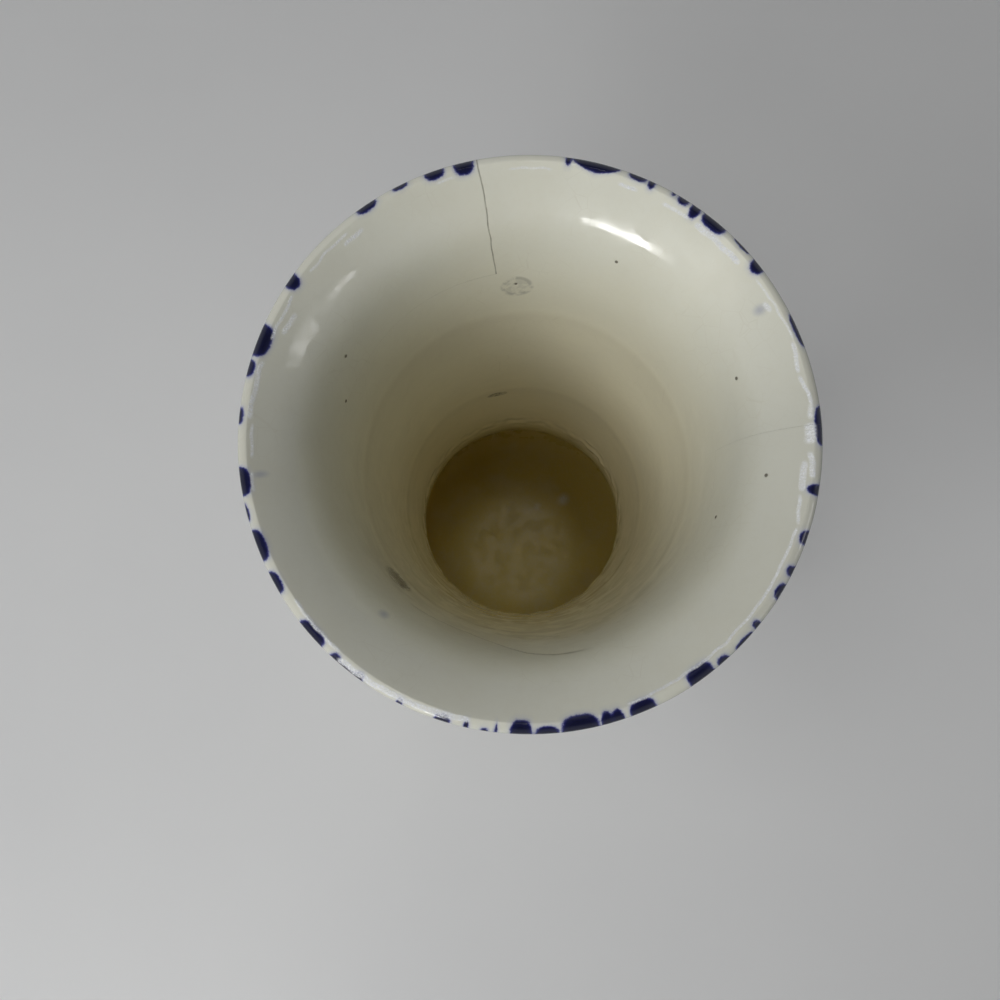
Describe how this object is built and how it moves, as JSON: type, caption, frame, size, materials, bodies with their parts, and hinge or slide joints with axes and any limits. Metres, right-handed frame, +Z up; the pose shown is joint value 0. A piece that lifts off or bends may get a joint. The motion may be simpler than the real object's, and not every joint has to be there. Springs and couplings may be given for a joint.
{
  "type": "pottery vase",
  "caption": "Pottery vase with a trumpet mouth, a narrow throat and a round body on a spreading foot ring, open at the top.",
  "frame": {"origin": "centre of the standing face, on the surface that the vase stands on", "axes": "+Z up along the axis of the vase; +X and +Y are any two level directions, since the body is round"},
  "size_m": [0.157, 0.157, 0.3203],
  "materials": {
    "dabbed_glaze": "glossy cream glaze, plain inside, with cobalt blue dabs outside and over the lip",
    "pooled_glaze": "cream glaze pooled darker over a slip seam",
    "bare_clay": "unglazed fired clay, dry and slightly worn"
  },
  "bodies": {
    "root": {"foot_ring": "bare_clay", "foot_slip": "bare_clay", "lower_body": "dabbed_glaze", "girth_slip": "pooled_glaze", "upper_body": "dabbed_glaze", "neck_slip": "pooled_glaze", "neck": "dabbed_glaze", "collar_slip": "pooled_glaze", "collar": "dabbed_glaze", "mouth_slip": "pooled_glaze", "mouth": "dabbed_glaze"}
  },
  "joints": []
}
